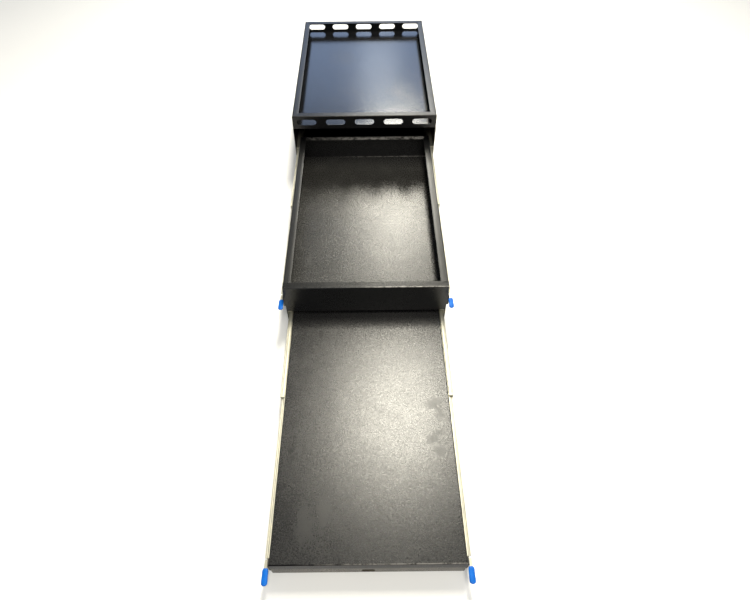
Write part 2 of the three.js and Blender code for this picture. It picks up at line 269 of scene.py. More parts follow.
def weld(p0, p1, width, height, ripples, sink=0.5):
    """A rippled weld bead lying on a level face between two points."""
    a, b = Vector(p0), Vector(p1)
    d = (b - a).normalized()
    side = d.cross(Vector((0, 0, 1))).normalized()
    n = ripples * 6
    rings = []
    for k in range(n + 1):
        s = k / n
        env = max(0.12, (1 - abs(2 * s - 1) ** 3.2)) ** 0.5
        rip = 1 + 0.11 * math.sin(2 * math.pi * ripples * s)
        w, h = width / 2 * env * rip, height * env * (0.8 + 0.2 * rip)
        c = a + (b - a) * s
        ring = [c + side * (w * math.cos(t)) + Vector((0, 0, h * math.sin(t))) for t in [math.pi * i / 8 for i in range(9)]]
        ring += [c - side * (w * 0.7) - Vector((0, 0, sink)), c + side * (w * 0.7) - Vector((0, 0, sink))]
        rings.append([tuple(v) for v in ring])
    return loft(rings)


def stadium(ca, cb, length, height, steps=10):
    r = height / 2
    e = length / 2 - r
    out = []
    for s, from_ in ((1, -90), (-1, 90)):
        for i in range(steps + 1):
            t = math.radians(from_ + 180 * i / steps)
            out.append((ca + s * e + r * math.cos(t), cb + r * math.sin(t)))
    return out


def block(x0, x1, y0, y1, z0, z1):
    return prism([(x0, y0), (x1, y0), (x1, y1), (x0, y1)], "Z", z0, z1)


def evaluate(ob):
    """Replaces the mesh by the result of its modifiers."""
    bpy.context.view_layer.update()
    dg = bpy.context.evaluated_depsgraph_get()
    me = bpy.data.meshes.new_from_object(ob.evaluated_get(dg), preserve_all_data_layers=True, depsgraph=dg)
    old = ob.data
    ob.modifiers.clear()
    ob.data = me
    bpy.data.meshes.remove(old)


def boolean(ob, other, how="DIFFERENCE"):
    tool = to_object("tool", *other)
    m = ob.modifiers.new("b", "BOOLEAN")
    m.operation, m.object, m.solver = how, tool, "EXACT"
    evaluate(ob)
    me = tool.data
    bpy.data.objects.remove(tool)
    bpy.data.meshes.remove(me)


def piece(node, material, shape, cut=(), join=(), extras=(), bevel=0.35, angle=38, sharp=38, suffix=""):
    """Builds the finished piece that stands for a CAD node and rides on the node's body."""
    ob = to_object("vis_" + node, *shape)
    for j in join:
        boolean(ob, j, "UNION")
    for c in cut:
        boolean(ob, c)
    if bevel:
        m = ob.modifiers.new("bv", "BEVEL")
        m.width, m.segments, m.limit_method, m.angle_limit = bevel, 2, "ANGLE", math.radians(angle)
        m.use_clamp_overlap = True
        evaluate(ob)
    if extras:
        bm = bmesh.new()
        bm.from_mesh(ob.data)
        for v, f in extras:
            part = bpy.data.meshes.new("part")
            part.from_pydata([tuple(p) for p in v], [], f)
            pb = bmesh.new()
            pb.from_mesh(part)
            bmesh.ops.recalc_face_normals(pb, faces=pb.faces)
            pb.to_mesh(part)
            pb.free()
            bm.from_mesh(part)
            bpy.data.meshes.remove(part)
        bm.to_mesh(ob.data)
        bm.free()
    for p in ob.data.polygons:
        p.use_smooth = True
    ob.data.set_sharp_from_angle(angle=math.radians(sharp))
    w = ob.modifiers.new("wn", "WEIGHTED_NORMAL")
    w.keep_sharp, w.weight = True, 60
    evaluate(ob)
    ob.data.transform(Matrix.Scale(MM, 4))
    ob.data.materials.clear()
    ob.data.materials.append(material)
    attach(ob, frame["nodes"][node]["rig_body"])
    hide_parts(node)
    return ob


# --------------------------------------------------------------------- materials
class Graph:
    def __init__(self, name):
        self.mat = bpy.data.materials.new(name)
        self.mat.use_nodes = True
        self.nt = self.mat.node_tree
        self.nt.nodes.clear()
        out = self.nt.nodes.new("ShaderNodeOutputMaterial")
        self.bsdf = self.nt.nodes.new("ShaderNodeBsdfPrincipled")
        self.link(self.bsdf.outputs[0], out.inputs["Surface"])
        self.coord = self.nt.nodes.new("ShaderNodeTexCoord").outputs["Object"]

    def link(self, a, b):
        self.nt.links.new(a, b)

    def put(self, a, socket):
        if isinstance(a, (int, float)):
            socket.default_value = a
        elif isinstance(a, (tuple, list)):
            socket.default_value = (*a, 1.0) if len(a) == 3 and len(socket.default_value) == 4 else a
        else:
            self.link(a, socket)

    def scaled(self, scale, shift=(0, 0, 0)):
        m = self.nt.nodes.new("ShaderNodeMapping")
        self.link(self.coord, m.inputs["Vector"])
        m.inputs["Scale"].default_value = scale
        m.inputs["Location"].default_value = shift
        return m.outputs[0]

    def noise(self, scale, detail=2.0, rough=0.5, vec=None, distortion=0.0):
        n = self.nt.nodes.new("ShaderNodeTexNoise")
        self.link(vec or self.coord, n.inputs["Vector"])
        n.inputs["Scale"].default_value = scale
        n.inputs["Detail"].default_value = detail
        n.inputs["Roughness"].default_value = rough
        n.inputs["Distortion"].default_value = distortion
        return n.outputs["Fac"]

    def voronoi(self, scale, vec=None, feature="F1"):
        n = self.nt.nodes.new("ShaderNodeTexVoronoi")
        n.feature = feature
        self.link(vec or self.coord, n.inputs["Vector"])
        n.inputs["Scale"].default_value = scale
        return n.outputs["Distance"]

    def math(self, op, a, b=0.0, c=None, clamp=False):
        n = self.nt.nodes.new("ShaderNodeMath")
        n.operation, n.use_clamp = op, clamp
        self.put(a, n.inputs[0])
        self.put(b, n.inputs[1])
        if c is not None:
            self.put(c, n.inputs[2])
        return n.outputs[0]

    def remap(self, a, lo, hi, to_lo=0.0, to_hi=1.0, smooth=True):
        n = self.nt.nodes.new("ShaderNodeMapRange")
        n.interpolation_type = "SMOOTHSTEP" if smooth else "LINEAR"
        self.put(a, n.inputs["Value"])
        for key, v in (("From Min", lo), ("From Max", hi), ("To Min", to_lo), ("To Max", to_hi)):
            n.inputs[key].default_value = v
        return n.outputs["Result"]

    def mix(self, fac, a, b):
        n = self.nt.nodes.new("ShaderNodeMix")
        n.data_type = "RGBA"
        self.put(fac, n.inputs[0])
        self.put(a, n.inputs[6])
        self.put(b, n.inputs[7])
        return n.outputs[2]

    def axis(self, i):
        n = self.nt.nodes.new("ShaderNodeSeparateXYZ")
        self.link(self.coord, n.inputs[0])
        return n.outputs[i]

    def blob(self, centre, size, soft=0.5, wobble=0.35, scale=45.0):
        """Soft-edged patch round a place on the piece, 1 inside and 0 outside. Places and sizes in metres."""
        m = self.nt.nodes.new("ShaderNodeVectorMath")
        m.operation = "SUBTRACT"
        self.link(self.coord, m.inputs[0])
        m.inputs[1].default_value = centre
        d = self.nt.nodes.new("ShaderNodeVectorMath")
        d.operation = "DIVIDE"
        self.link(m.outputs[0], d.inputs[0])
        d.inputs[1].default_value = size
        length = self.nt.nodes.new("ShaderNodeVectorMath")
        length.operation = "LENGTH"
        self.link(d.outputs[0], length.inputs[0])
        r = self.math("MULTIPLY_ADD", self.noise(scale, 3.0), wobble * 2, self.math("SUBTRACT", length.outputs["Value"], wobble))
        return self.remap(r, 1.0, 1.0 - soft)

    def bump(self, layers):
        """layers: (height, distance in metres, strength), the coarsest first."""
        normal = None
        for height, distance, strength in layers:
            b = self.nt.nodes.new("ShaderNodeBump")
            b.inputs["Distance"].default_value = distance
            b.inputs["Strength"].default_value = strength
            self.link(height, b.inputs["Height"])
            if normal is not None:
                self.link(normal, b.inputs["Normal"])
            normal = b.outputs[0]
        self.link(normal, self.bsdf.inputs["Normal"])

    def set(self, **kw):
        for k, v in kw.items():
            self.put(v, self.bsdf.inputs[k.replace("_", " ")])


def powder(name, patches=(), wear_and_sheen=None, grain=1.0, base=(0.0016, 0.0016, 0.0019), rough=0.28, scuffs=0.0, speckle=0.0, dusty=0.12, specular=0.5, lower_face_reflection=None, calm=1.0, pitch=250):
    """Satin black powder coat with a fine sanded texture, faint flow waviness, dust and handling marks; where asked, a
    painted highlight along an edge and a painted reflection on the lower part of a face.
    """
    g = Graph(name)
    fine, mid = g.noise(1500, 3.0, 0.6), g.noise(430, 3.0, 0.62)
    flow, cloud = g.noise(26, 2.0), g.noise(7.5, 4.0, 0.6, distortion=0.4)
    dust = g.remap(g.noise(16, 5.0, 0.65), 0.46, 0.74)
    colour = g.mix(g.remap(mid, 0.35, 0.7), base, tuple(c * 1.9 for c in base))
    colour = g.mix(g.math("MULTIPLY", dust, dusty), colour, (0.020, 0.0195, 0.018))
    r = g.math("MULTIPLY_ADD", cloud, 0.10, rough - 0.05)
    r = g.math("MULTIPLY_ADD", mid, 0.10, g.math("SUBTRACT", r, 0.05))
    pebble = g.noise(pitch, 4.0, 0.78)
    if speckle:
        r = g.math("MULTIPLY_ADD", g.remap(pebble, 0.30, 0.70, -1.0, 1.0), speckle, r)
    for centre, size, dr, tint in patches:
        k = g.math("MULTIPLY", g.blob(centre, size, 0.95, 0.60, 55.0), g.remap(g.noise(120, 3.0, 0.6), 0.30, 0.62, 0.35, 1.0))
        r = g.math("MULTIPLY_ADD", k, dr, r)
        colour = g.mix(g.math("MULTIPLY", k, 0.35), colour, tint)
    if scuffs:
        # sparse light nicks a few millimetres long
        v = g.voronoi(23.0, g.scaled((1.0, 0.45, 1.0)))
        nick = g.math("MULTIPLY", g.remap(v, 0.06, 0.02), g.remap(g.noise(240, 2.0), 0.45, 0.6))
        nick = g.math("MULTIPLY", nick, g.remap(g.noise(5.0, 1.0), 0.55, 0.62))
        colour = g.mix(g.math("MULTIPLY", nick, scuffs), colour, (0.20, 0.19, 0.175))
    if wear_and_sheen:
        # pale band along an edge on the top face: a painted highlight standing in for light caught on the edge, partly
        # rubbed paint; brighter towards +X, the lamp side
        y_at, z_at, reach, x_lo, x_hi, strength = wear_and_sheen
        near = g.remap(g.math("ABSOLUTE", g.math("SUBTRACT", g.axis(1), y_at)), reach, reach * 0.25)
        near = g.math("MULTIPLY", near, g.remap(g.axis(2), z_at - 0.0022, z_at - 0.0006))
        along = g.remap(g.axis(0), x_lo, x_hi)
        broken = g.remap(g.noise(60, 4.0, 0.7), 0.34, 0.6)
        k = g.math("MULTIPLY", g.math("MULTIPLY", near, along), g.math("MULTIPLY", broken, strength), clamp=True)
        colour = g.mix(k, colour, (0.36, 0.345, 0.32))
    if lower_face_reflection:
        # painted reflection: a paler band along the lower part of a face, between two heights in metres, standing in
        # for the bright floor mirrored there; lighter towards +X, the lamp side
        z_hi, z_lo, tone, strength = lower_face_reflection
        k = g.math("MULTIPLY", g.remap(g.axis(2), z_hi, z_lo), g.remap(g.noise(38, 4.0, 0.65), 0.30, 0.62, 0.55, 1.0))
        k = g.math("MULTIPLY", k, g.remap(g.axis(0), -0.26, -0.10, 0.6, 1.0))
        colour = g.mix(g.math("MULTIPLY", k, strength), colour, tone)
    g.set(Base_Color=colour, Roughness=g.math("MINIMUM", g.math("MAXIMUM", r, 0.15), 0.8), Metallic=0.0, IOR=1.5)
    g.bsdf.inputs["Specular IOR Level"].default_value = specular
    layers = [(flow, 0.0006, 0.10 * calm), (mid, 0.00035 * grain, 0.55), (fine, 0.00010 * grain, 0.35)]
    if speckle:
        layers.insert(1, (pebble, 0.00024, 0.5))
    g.bump(layers)
    return g.mat


def zinc(name, base=(0.53, 0.51, 0.415), rough=0.50):
    """Bright zinc plate on rolled steel: rolling lines along the member and a faint cloudy passivation."""
    g = Graph(name)
    lines = g.noise(900, 3.0, 0.6, g.scaled((1.0, 0.012, 1.0)))
    cloud = g.noise(34, 4.0, 0.6)
    spots = g.remap(g.noise(170, 2.0), 0.62, 0.78)
    colour = g.mix(g.remap(cloud, 0.35, 0.68), base, (base[0] * 0.84, base[1] * 0.85, base[2] * 0.90))
    colour = g.mix(g.math("MULTIPLY", spots, 0.18), colour, (0.39, 0.375, 0.30))
    r = g.math("MULTIPLY_ADD", cloud, 0.14, rough - 0.07)
    r = g.math("MULTIPLY_ADD", lines, 0.10, g.math("SUBTRACT", r, 0.05))
    g.set(Base_Color=colour, Roughness=r, Metallic=0.92)
    g.bump([(cloud, 0.0002, 0.10), (lines, 0.00006, 0.35)])
    return g.mat


def steel(name):
    g = Graph(name)
    lines, cloud = g.noise(1300, 2.0, 0.5, g.scaled((1.0, 0.02, 1.0))), g.noise(60, 3.0)
    g.set(Base_Color=g.mix(cloud, (0.50, 0.51, 0.53), (0.66, 0.665, 0.68)),
          Roughness=g.math("MULTIPLY_ADD", lines, 0.14, 0.12), Metallic=1.0)
    g.bump([(lines, 0.00004, 0.3)])
    return g.mat


def vinyl(name):
    """Dipped vinyl: glossy, slightly uneven skin with drips' softness and a trace of dust."""
    g = Graph(name)
    skin, pits, dust = g.noise(70, 2.0), g.noise(620, 2.0), g.remap(g.noise(110, 4.0, 0.7), 0.56, 0.78)
    colour = g.mix(g.remap(skin, 0.3, 0.7), (0.0002, 0.100, 0.44), (0.0003, 0.122, 0.52))
    colour = g.mix(g.math("MULTIPLY", dust, 0.12), colour, (0.015, 0.15, 0.46))
    g.set(Base_Color=colour, Roughness=g.math("MULTIPLY_ADD", dust, 0.18, 0.38), Metallic=0.0, IOR=1.45)
    g.bsdf.inputs["Specular IOR Level"].default_value = 0.2
    g.bump([(skin, 0.0005, 0.22), (pits, 0.00008, 0.25)])
    return g.mat


def rubber(name):
    g = Graph(name)
    grit, cloud = g.noise(900, 3.0, 0.6), g.noise(90, 3.0)
    g.set(Base_Color=g.mix(cloud, (0.012, 0.012, 0.011), (0.030, 0.029, 0.027)),
          Roughness=g.math("MULTIPLY_ADD", grit, 0.22, 0.58), Metallic=0.0)
    g.bump([(cloud, 0.0003, 0.2), (grit, 0.00012, 0.5)])
    return g.mat


GREASE = (0.006, 0.006, 0.0055)
PALE = (0.016, 0.0155, 0.0145)
PANEL_MARKS = [
    ((0.200, -1.566, 0.089), (0.034, 0.026, 0.05), 0.105, GREASE),
    ((0.214, -1.598, 0.089), (0.022, 0.032, 0.05), 0.085, GREASE),
    ((0.190, -1.672, 0.089), (0.030, 0.026, 0.05), 0.115, GREASE),
    ((0.212, -1.656, 0.089), (0.034, 0.016, 0.05), 0.085, GREASE),
    ((0.202, -1.712, 0.089), (0.026, 0.022, 0.05), 0.09, GREASE),
    ((-0.165, -1.900, 0.089), (0.034, 0.075, 0.05), 0.08, PALE),
    ((-0.115, -1.870, 0.089), (0.022, 0.060, 0.05), 0.09, PALE),
    ((-0.215, -1.700, 0.089), (0.020, 0.050, 0.05), -0.06, PALE),
    ((-0.150, -1.310, 0.089), (0.010, 0.026, 0.05), -0.07, PALE),
]
M_COAT = powder("coat_body", scuffs=0.25)
M_RIM = powder("coat_rim", rough=0.33, grain=0.6, scuffs=0.25, specular=0.30)
M_SLEEVE = powder("coat_sleeve", rough=0.36, scuffs=0.2)
M_TRAY = powder("coat_tray_floor", base=(0.0022, 0.0024, 0.0030), rough=0.175, grain=0.50, speckle=0.035, calm=0.5, pitch=190, patches=[
    ((-0.10, 0.16, 0.283), (0.10, 0.14, 0.05), 0.05, PALE), ((0.16, -0.15, 0.283), (0.08, 0.11, 0.05), 0.06, PALE)], scuffs=0.35)
# drawer floor: painted highlight, a pale line along the foot of the back wall, brighter towards +X
M_DRAWER = powder("coat_drawer_floor", base=(0.0078, 0.0076, 0.0070), dusty=0.6, rough=0.277, speckle=0.050,
                  calm=0.25, pitch=190,
                  wear_and_sheen=((DB - T - 3.0) * MM, DFLOOR * MM, 0.0046, -0.16, 0.04, 0.42), patches=[
    ((-0.205, -1.000, 0.116), (0.020, 0.045, 0.05), 0.05, PALE), ((0.215, -1.000, 0.116), (0.022, 0.040, 0.05), 0.05, PALE)], scuffs=0.8)
# drawer front: painted highlight, a pale line along the front edge of the top flange, brighter towards +X
M_DRAWER_FRONT = powder("coat_drawer_front", base=(0.0012, 0.0014, 0.0017), dusty=0.04, grain=0.7, specular=0.32, wear_and_sheen=((DF + 2.6) * MM, DR * MM, 0.0030, -0.06, 0.10, 0.60))
# drawer back: painted highlight, a pale strip on the back flange standing in for glare there, brighter towards +X
M_DRAWER_BACK = powder("coat_drawer_back", wear_and_sheen=((DB - 17.0) * MM, DR * MM, 0.0150, -0.34, 0.02, 0.80))
M_EDGE = powder("coat_panel_edge", rough=0.46, specular=0.2)
M_PANEL = powder("coat_panel", patches=PANEL_MARKS, base=(0.0026, 0.0026, 0.0028), dusty=0.25, grain=1.15, rough=0.275,
                 scuffs=0.25, speckle=0.050)
# panel lip: painted highlight along the deck's front edge, partly rubbed paint, and a painted reflection on the lower
# part of the lip face, both lighter towards +X
M_LIP = powder("coat_panel_lip", specular=0.07, wear_and_sheen=((PF + 2.4) * MM, PT * MM, 0.0030, -0.20, 0.02, 0.42),
               lower_face_reflection=((PT - 25) * MM, (PT - 45) * MM, (0.150, 0.136, 0.112), 0.78))
M_ZINC = zinc("zinc_plate")
M_LEVER = zinc("zinc_lever", rough=0.34)
M_STEEL = steel("retainer_steel")
M_VINYL = vinyl("blue_vinyl")
M_RUBBER = rubber("stop_rubber")


# ------------------------------------------------------------------------ sleeve
IN = 271.0      # where the side sheets' turned edges end
piece("sleeve_base", M_SLEEVE, prism(round_closed([(-IN + 0.3, FRONT), (IN - 0.3, FRONT), (IN - 0.3, BACK), (-IN + 0.3, BACK)], 2.0),
      "Z", 0.0, 2.5), extras=[weld((s * (IN - 0.1), y, 2.4), (s * (IN - 0.1), y + 42, 2.4), 4.0, 1.0, 9)
                             for s in (-1, 1) for y in (-360, -120, 110, 330)])
for side, s in (("left", -1), ("right", 1)):
    a = sheet_outline([(s * IN, 0), (s * SLEEVE_HALF, 0), (s * SLEEVE_HALF, SLEEVE_TOP), (s * IN, SLEEVE_TOP)], T, s, 2.5)
    screws = [flush_screw((s * (SLEEVE_HALF - 0.02), y, 140), (s, 0, 0)) for y in (FRONT + 46, FRONT + 306, FRONT + 566, FRONT + 781)]
    rings = [turned((s * (SLEEVE_HALF + 0.5), y, 140), (-s, 0, 0), [(5.15, 0), (5.15, 3.5)], 28)
             for y in (FRONT + 46, FRONT + 306, FRONT + 566, FRONT + 781)]
    piece(f"sleeve_side_{side}", M_SLEEVE, prism(a, "Y", FRONT, BACK), cut=rings, extras=screws)
piece("sleeve_back", M_SLEEVE, prism(sheet_outline(
    [(BACK - 15, 2.8), (BACK, 2.8), (BACK, BACK_TOP), (BACK - 15, BACK_TOP)], T, 1, 2.0), "X", -BACK_HALF, BACK_HALF))
piece("sleeve_deck", M_SLEEVE, prism(round_closed([(-IN + 0.3, FRONT), (IN - 0.3, FRONT), (IN - 0.3, BACK), (-IN + 0.3, BACK)], 2.0),
      "Z", SLEEVE_TOP - T, SLEEVE_TOP - 0.05))

# -------------------------------------------------------------------- cargo tray
TOP = HEIGHT - 0.6     # flange face; the weld beads stand up to the rim height
slots = lambda y0, y1: [prism(stadium((i - 2) * SLOT_PITCH, SLOT_Z, SLOT_LEN, SLOT_H), "Y", y0, y1) for i in range(5)]


def rim_end(inward, z0, z1, bottom=False):
    """End wall section in (inward distance, height)."""
    path = [(0, z0), (0, z1), (RIM, z1)]
    if bottom:
        path = [(20, z0)] + path
    return sheet_outline(path, T, -1, 2.0)


def rim_side(z0, z1):
    """Side wall section: the flange's inner strip is set slightly down."""
    return sheet_outline([(0, z0), (0, z1), (15, z1), (RIM, z1 - 1.4)], T, -1, 2.0)


def tray_bead(s, y, inward):
    """Weld along a mitre, from near the outer corner inwards."""
    return weld((s * (TRAY_HALF - 4.0), y + inward * 4.0, TOP), (s * (TRAY_HALF - 18.5), y + inward * 18.5, TOP), 4.6, 0.55, 8)


for end, y, k in (("front", FRONT, 1), ("back", BACK, -1)):
    sec = [(y + k * d, z) for d, z in rim_end(k, TRAY_LOW, TOP)]
    mitre = lambda yy, z, y=y, k=k: TRAY_HALF - 0.06 - max(0.0, k * (yy - y))
    piece(f"tray_wall_{end}", M_RIM, prism(sec, "X", lambda a, b, m=mitre: -m(a, b), mitre),
          cut=slots(min(y, y + k * 7) - 3, max(y, y + k * 7) + 1), extras=[tray_bead(s, y, k) for s in (-1, 1)])
for side, s in (("left", -1), ("right", 1)):
    sec = [(s * (TRAY_HALF - d), z) for d, z in rim_side(TRAY_LOW, TOP)]
    lo = lambda x, z, s=s: FRONT + 0.06 + max(0.0, TRAY_HALF - s * x)
    hi = lambda x, z, s=s: BACK - 0.06 - max(0.0, TRAY_HALF - s * x)
    piece(f"tray_wall_{side}", M_RIM, prism(sec, "Y", lo, hi))
w, t = TRAY_FLOOR_HALF, TRAY_FLOOR
piece("tray_floor", M_TRAY, prism(sheet_outline([(-w, TRAY_LOW), (-w, t), (w, t), (w, TRAY_LOW)], T, -1, 1.4),
      "Y", FRONT + T + 0.3, BACK - T - 0.3))

# ------------------------------------------------------------------------ drawer
fr = [(DF + d, z) for d, z in rim_end(1, DL, DR, True)]
piece("drawer_front", M_DRAWER_FRONT, prism(fr, "X", -DH, DH),
      cut=[block(s * DFLOOR_HALF if s > 0 else -DH - 5, DH + 5 if s > 0 else -DFLOOR_HALF, DF + T + 0.1, DF + 30, DL - 5, DL + 30) for s in (-1, 1)],
      extras=[weld((-DH + 3.5, DF + RIM + 0.1, DR), (-DH + 9.5, DF + RIM + 0.1, DR), 4.4, 1.1, 3),
              weld((-DH + 13.5, DF + RIM + 0.1, DR), (-DH + 20.5, DF + RIM - 0.6, DR), 5.0, 1.2, 4),
              weld((DH - 16.5, DF + RIM + 0.1, DR), (DH - 2.5, DF + RIM - 0.4, DR), 5.0, 1.2, 7)])
bk = [(DB - d, z) for d, z in rim_end(-1, DL, DR)]
notch = DH - RIM - 0.3
piece("drawer_back", M_DRAWER_BACK, prism(bk, "X", -DH, DH),
      cut=[block(notch if s > 0 else -DH - 5, DH + 5 if s > 0 else -notch, DB - 40, DB - T - 0.02, DL + 20, DR + 5) for s in (-1, 1)],
      extras=[weld((s * (notch + 0.15), DB - 7, DR), (s * (notch + 0.15), DB - 20, DR), 4.4, 1.0, 6) for s in (-1, 1)])
for side, s in (("left", -1), ("right", 1)):
    sec = [(s * (DH - d), z) for d, z in rim_side(SKIRT, DR)]
    x0, x1 = min(s * (DH + 5), s * (DH - 60)), max(s * (DH + 5), s * (DH - 60))
    piece(f"drawer_side_{side}", M_RIM, prism(sec, "Y", DF, DB), cut=[
        block(x0, x1, DF - 5, DF + RIM + 0.3, DR - T - 0.3, DR + 5),
        block(x0, x1, DF - 6, DF + T + 0.3, DL - 0.3, DR + 6),
        block(x0, x1, DB - T - 0.3, DB + 6, DL - 0.3, DR + 7)])
w = DFLOOR_HALF
ya, yb = DF + T + 0.3, DB - T - 0.3
piece("drawer_floor", M_DRAWER, prism(round_closed([(-w, ya), (w, ya), (w, yb), (-w, yb)], 1.5), "Z", DFLOOR - T, DFLOOR))


def hat(yc, top, depth, foot, crown, t=1.5):
    """Section of a top-hat channel hung under a sheet, in (y, z)."""
    return sheet_outline([(yc - foot, top), (yc - crown + t, top), (yc - crown + t, top - depth + t),
                          (yc + crown - t, top - depth + t), (yc + crown - t, top), (yc + foot, top)], t, -1, 1.5)


def spots(yc, z, foot, half, pitch):
    """Plug welds along both feet of a channel, seen from below."""
    n = int(2 * (half - 25) / pitch)
    return [turned(((i - n / 2) * pitch, yc + e * (foot - 8), z), (0, 0, -1), [(3.4, 0), (3.2, 0.18), (2.3, 0.42), (0.8, 0.5)], 16)
            for i in range(n + 1) for e in (-1, 1)]


top = DFLOOR - T - 0.3
for end, yc in (("front", DF + 210), ("back", DB - 210)):
    piece(f"drawer_floor_brace_{end}", M_COAT, prism(hat(yc, top, 16, 40, 24), "X", -w, w), bevel=0.25,
          extras=spots(yc, top - 1.5, 40, w, 58))

# -------------------------------------------------------------------- step panel
edge = 3.3
piece("panel_deck", M_PANEL, prism(round_closed([(-PH + edge, PF + edge), (PH - edge, PF + edge), (PH - edge, PB), (-PH + edge, PB)], 0.6),
      "Z", PT - T, PT), bevel=0.12)
wi = PH - T - 0.3
lip = [(PF + d, z) for d, z in sheet_outline([(18, PL), (0, PL), (0, PT), (edge - 0.05, PT)], T, -1, 1.0)]
piece("panel_front_lip", M_LIP, prism(lip, "X", -PH, PH), bevel=0.3, cut=[
    prism(round_closed([(-17, 19), (17, 19), (17, 43), (-17, 43)], 8.0, 8), "Y", PF - 5, PF + 6),
    block(wi, PH + 5, PF + T + 0.1, PF + 30, PL - 5, PL + 12), block(-PH - 5, -wi, PF + T + 0.1, PF + 30, PL - 5, PL + 12)],
    extras=[weld((s * (PH - 4.6), PF + 3.4, PT - 0.45), (s * (PH - 1.6), PF + 3.4, PT - 0.45), 3.4, 0.42, 2, 0.4) for s in (-1, 1)])
for side, s in (("left", -1), ("right", 1)):
    sec = [(s * (PH - d), z) for d, z in sheet_outline([(18, PL), (0, PL), (0, PT), (edge - 0.05, PT)], T, -1, 1.0)]
    x0, x1 = min(s * (PH - T - 0.05), s * (PH - 40)), max(s * (PH - T - 0.05), s * (PH - 40))
    piece(f"panel_rail_{side}", M_EDGE, prism(sec, "Y", PF + T + 0.3, PB), bevel=0.3, cut=[
        block(x0, x1, PF - 5, PF + 18.3, PL - 5, PL + 12)])
piece("panel_back_rail", M_COAT, prism(sheet_outline(
    [(PB - 14, PL + 2.3), (PB, PL + 2.3), (PB, PT - 2.3), (PB - 14, PT - 2.3)], T, 1, 1.5), "X", -wi, wi))
top = PT - T - 0.3
for where, yc in (("front", PF + 190), ("middle", PF + 400), ("back", PF + 610)):
    piece(f"panel_rib_{where}", M_COAT, prism(hat(yc, top, 25, 38, 20), "X", -wi, wi), bevel=0.25,
          extras=spots(yc, top - 1.5, 38, wi, 60))


# ------------------------------------------------------------------------ slides
def groove(u, v, g, edge_v, n=12):
    half = math.sqrt(g * g - (v - edge_v) ** 2)
    a, b = math.atan2(edge_v - v, -half), math.atan2(edge_v - v, half)
    if edge_v < v:
        a = a - 2 * math.pi if a > 0 else a
        b = b - 2 * math.pi if b > 0 else b
    return [(u + g * math.cos(a + (b - a) * i / n), v + g * math.sin(a + (b - a) * i / n)) for i in range(n + 1)]


G = 3.25
INNER = [(0.3, 23, 2.6), *groove(8, 25, G, 23), (12.4, 23, 0.8), (12.4, 21, 0.8),
         (10.7, 21, 0.8), (9.6, 19.9), (8, 19.6), (6.4, 19.9), (5.3, 21, 0.8), (2.3, 21, 0.9)]
MIDDLE = [(16, 30.2, 2.4), *groove(13, 32.2, G, 30.2)[::-1], (3.4, 30.2, 1.2), (3.4, 27, 1.2), *groove(8, 25, G, 27), (14, 27, 1.0)]
OUTER = [(19.4, 38.1, 3.2), (6.2, 38.1, 1.6), (6.2, 34.2, 1.6), *groove(13, 32.2, G, 34.2), (17.4, 34.2, 1.2)]


def member(half_section, s, base, zc):
    """Rounded closed section of a slide member, mirrored about the slide's middle height."""
    pts = [tuple(p) for p in half_section]
    low = [(p[0], -p[1], *p[2:]) for p in pts][::-1]
    out = round_closed(pts + low, 0.35, 3)
    return [(s * (base + u), zc + v) for u, v in out]


def holes(s, base, zc, ys, u0, u1, length, height):
    a, b = sorted((s * (base + u0), s * (base + u1)))
    return [prism(stadium(y, zc, length, height, 8), "X", a, b) for y in ys]


